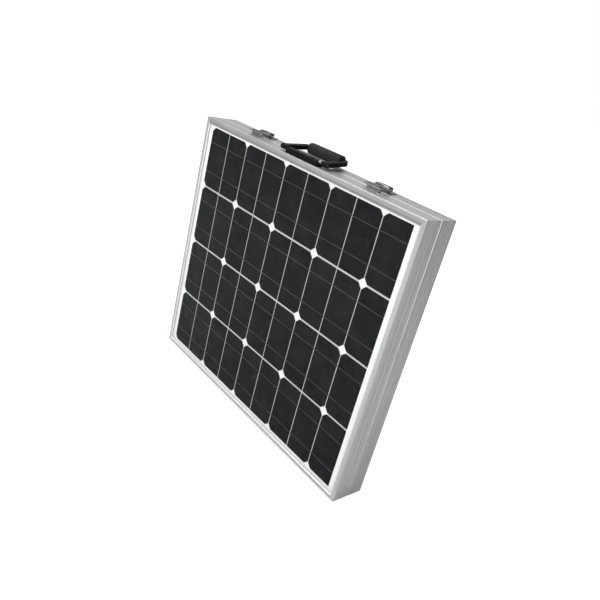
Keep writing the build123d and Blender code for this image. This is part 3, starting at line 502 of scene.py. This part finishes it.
# First match wins: the end of a node's name, and its material.
FINISHES = (
    ("front_rail_top", "top_aluminium"),
    ("rear_rail_top", "rear_aluminium_across"),
    ("rear_rail_bottom", "rear_aluminium_across"),
    ("rear_rail_left", "rear_aluminium_upright"),
    ("rear_rail_right", "rear_aluminium_upright"),
    ("rail_bottom", "aluminium_across"),
    ("rail_left", "aluminium_upright"),
    ("rail_right", "aluminium_upright"),
    ("corner_keys", "housing"),
    ("glass", "solar_glass"),
    ("cells", "silicon"),
    ("ribbons", "ribbon"),
    ("backsheet", "backsheet"),
    ("seal", "seal"),
    ("junction_box_base", "housing"),
    ("junction_box_lid", "housing"),
    ("cable_glands", "housing"),
    ("feet", "foot"),
    ("stand_legs", "stand_upright"),
    ("stand_crossbar", "stand_across"),
    ("stand_caps", "housing"),
    ("stand_brackets", "hinge"),
    ("handle_base", "handle"),
    ("handle_bail", "handle"),
    ("handle_grip", "grip"),
    ("handle_spacers", "spacer"),
    ("handle_pins", "dark_fastener"),
    ("rivets", "fastener"),
    ("screws", "fastener"),
    ("bolts", "fastener"),
    ("pins", "fastener"),
    ("leaves", "hinge"),
    ("latch_base", "latch"),
    ("latch_lever", "lever"),
    ("latch_loop", "latch"),
    ("latch_keeper", "latch"),
)


def finish_nodes():
    """Give every CAD node its material."""
    for name, node in NODES.items():
        key = next(material for ending, material in FINISHES if name.endswith(ending))
        node.data.materials.clear()
        node.data.materials.append(MATERIALS[key])


# ---------------------------------------------------------------- extra pieces
BEAD_LAP = 0.4 * MM
BEAD_WIDTH = 1.9 * MM
BEAD_RISE = 1.25 * MM
BEAD_HOLLOW = 0.8
BEAD_STEPS = 6
BEAD_SEGMENT = 9.0 * MM
BEAD_WAVER = 0.12 * MM
BEAD_WAVERS_PER_M = 130.0
SPRING_R = 2.35 * MM
SPRING_WIRE_R = 0.55 * MM
SPRING_LENGTH = 27.0 * MM
SPRING_TURNS = 23
SPRING_STEPS = 16
SPRING_SIDES = 8


def new_object(name, verts, faces, material):
    """A mesh object with one material, in the scene."""
    mesh = bpy.data.meshes.new(name)
    mesh.from_pydata(verts, [], faces)
    mesh.materials.append(material)
    made = bpy.data.objects.new(name, mesh)
    bpy.context.scene.collection.objects.link(made)
    return made


def new_piece(name, verts, faces, material):
    """A smooth-shaded piece of the object."""
    piece = new_object(name, verts, faces, MATERIALS[material])
    for face in piece.data.polygons:
        face.use_smooth = True
    return piece


def bead_loop(half_w, low, high):
    """Points round a rectangle in X and Z, with the direction that leads inwards at each."""
    corners = [(-half_w, low), (half_w, low), (half_w, high), (-half_w, high)]
    points = []
    for (x0, z0), (x1, z1) in zip(corners, corners[1:] + corners[:1]):
        start = Vector((x0, 0, z0))
        run = Vector((x1 - x0, 0, z1 - z0))
        inwards = Vector((-run.z, 0, run.x)).normalized()
        steps = round(run.length / BEAD_SEGMENT)
        points.append((start, inwards + run.normalized()))
        for step in range(1, steps):
            points.append((start + run * (step / steps), inwards))
    return points


def sealant_bead(side):
    """Tooled bead of sealant in the corner between a module's lip and its glass."""
    frame_low, frame_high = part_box(f"{side}_rail_left")
    glass_low, glass_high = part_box(f"{side}_glass")
    outer = -1 if side == "front" else 1
    glass_face = glass_low.y if side == "front" else glass_high.y
    loop = bead_loop(-frame_low.x - LIP_WIDTH, frame_low.z + LIP_WIDTH, frame_high.z - LIP_WIDTH)
    verts = []
    for place, inwards in loop:
        waver = BEAD_WAVER * noise.noise(place * BEAD_WAVERS_PER_M)
        width = BEAD_LAP + BEAD_WIDTH + waver
        for step in range(BEAD_STEPS + 1):
            turn = math.pi / 2 * step / BEAD_STEPS
            across = width * (1 - math.cos(turn)) ** BEAD_HOLLOW - BEAD_LAP
            rise = BEAD_RISE * (1 - math.sin(turn)) ** BEAD_HOLLOW
            point = place + inwards * across
            verts.append((point.x, glass_face + outer * rise, point.z))
    ring = BEAD_STEPS + 1
    faces = []
    for index in range(len(loop)):
        here, after = index * ring, (index + 1) % len(loop) * ring
        for step in range(BEAD_STEPS):
            faces.append((here + step, after + step, after + step + 1, here + step + 1))
    if side == "rear":
        faces = [face[::-1] for face in faces]
    bead = new_piece(f"{side}_sealant_bead", verts, faces, "seal")
    bead.visible_shadow = False
    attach(bead, f"{side}_panel")


def latch_spring(side):
    """Torsion spring wound on a latch's pin, between the walls of its lever."""
    joint = next(joint for joint in frame["joints"] if joint["name"] == f"{side}_lever_swing")
    axis = Vector(joint["pos_m"])
    count = SPRING_TURNS * SPRING_STEPS
    verts = []
    for index in range(count + 1):
        turn = math.tau * index / SPRING_STEPS
        outwards = Vector((0, math.cos(turn), math.sin(turn)))
        along = Vector(((index / count - 0.5) * SPRING_LENGTH, 0, 0))
        middle = axis + along + outwards * SPRING_R
        for step in range(SPRING_SIDES):
            angle = math.tau * step / SPRING_SIDES
            spoke = outwards * math.cos(angle) + Vector((math.sin(angle), 0, 0))
            verts.append(middle + spoke * SPRING_WIRE_R)
    faces = []
    for index in range(count):
        here, after = index * SPRING_SIDES, (index + 1) * SPRING_SIDES
        for step in range(SPRING_SIDES):
            other = (step + 1) % SPRING_SIDES
            faces.append((here + step, after + step, after + other, here + other))
    faces.append(tuple(range(SPRING_SIDES)))
    faces.append(tuple(range(len(verts) - 1, len(verts) - 1 - SPRING_SIDES, -1)))
    spring = new_piece(f"{side}_latch_spring", verts, faces, "spring")
    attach(spring, f"{side}_lever")


# ---------------------------------------------------------------- studio
def studio_floor():
    """Wide pale floor, whose glow only the camera sees."""
    half = FLOOR_SIZE / 2
    corners = [(-half, -half, 0), (half, -half, 0), (half, half, 0), (-half, half, 0)]
    shader = Shader("floor")
    cloud = shader.noise(3.0, 2.0)
    duller = grey(FLOOR_WHITE - FLOOR_UNEVENNESS)
    shader.base(shader.mottle(cloud, NOISE_SPAN, duller, grey(FLOOR_WHITE)))
    shader.rough(0.9)
    shader.set(Specular_IOR_Level=0.0, Emission_Color=(1.0, 1.0, 1.0, 1.0))
    seen = shader.node("LightPath").outputs["Is Camera Ray"]
    shader.link(shader.math("MULTIPLY", seen, FLOOR_GLOW), shader.surface.inputs["Emission Strength"])
    new_object("floor", corners, [(0, 1, 2, 3)], shader.material)


def studio_world():
    """White surroundings, whose dark side to the front right only reflections see."""
    world = bpy.data.worlds.new("studio")
    bpy.context.scene.world = world
    world.use_nodes = True
    tree = world.node_tree
    background = tree.nodes["Background"]
    place = tree.nodes.new("ShaderNodeTexCoord")
    towards = tree.nodes.new("ShaderNodeVectorMath")
    towards.operation = "DOT_PRODUCT"
    towards.inputs[1].default_value = STUDIO_BRIGHT_SIDE
    fall = tree.nodes.new("ShaderNodeMapRange")
    fall.interpolation_type = "SMOOTHSTEP"
    fall.inputs["From Min"].default_value, fall.inputs["From Max"].default_value = STUDIO_FALL
    fall.inputs["To Min"].default_value = STUDIO_DARK
    fall.inputs["To Max"].default_value = STUDIO_WHITE
    seen = tree.nodes.new("ShaderNodeLightPath")
    either = tree.nodes.new("ShaderNodeMath")
    either.operation = "MAXIMUM"
    tree.links.new(place.outputs["Generated"], towards.inputs[0])
    tree.links.new(towards.outputs["Value"], fall.inputs["Value"])
    tree.links.new(fall.outputs["Result"], either.inputs[0])
    tree.links.new(seen.outputs["Is Camera Ray"], either.inputs[1])
    tree.links.new(either.outputs[0], background.inputs["Color"])
    background.inputs["Strength"].default_value = 1.0


def soft_light(name, place, target, size, power):
    """Rectangular lamp that the camera does not see."""
    light = bpy.data.lights.new(name, "AREA")
    light.shape = "RECTANGLE"
    light.size, light.size_y = size
    light.energy = power
    lamp = bpy.data.objects.new(name, light)
    lamp.location = place
    aim = Vector(target) - Vector(place)
    lamp.rotation_euler = aim.to_track_quat("-Z", "Y").to_euler()
    lamp.visible_camera = False
    bpy.context.scene.collection.objects.link(lamp)


def studio_camera():
    """Camera at a fixed place, turned by azimuth, elevation and roll."""
    azimuth = math.radians(CAMERA_AZIMUTH)
    elevation = math.radians(CAMERA_ELEVATION)
    forward = Vector(
        (
            -math.cos(elevation) * math.sin(azimuth),
            math.cos(elevation) * math.cos(azimuth),
            -math.sin(elevation),
        )
    )
    level = forward.to_track_quat("-Z", "Y")
    roll = Matrix.Rotation(math.radians(CAMERA_ROLL), 4, forward)
    data = bpy.data.cameras.new("camera")
    data.sensor_width = CAMERA_SENSOR
    data.lens = CAMERA_LENS
    data.shift_x, data.shift_y = CAMERA_SHIFT
    data.clip_start = CAMERA_NEAREST
    camera = bpy.data.objects.new("camera", data)
    camera.matrix_world = Matrix.Translation(CAMERA_PLACE) @ roll @ level.to_matrix().to_4x4()
    bpy.context.scene.collection.objects.link(camera)
    bpy.context.scene.camera = camera


studio_camera()
studio_world()
studio_floor()
for lamp_settings in STUDIO_LIGHTS:
    soft_light(*lamp_settings)
finish_nodes()
for side in ("front", "rear"):
    sealant_bead(side)
for side in ("left", "right"):
    latch_spring(side)
bpy.context.scene.view_settings.view_transform = "Standard"
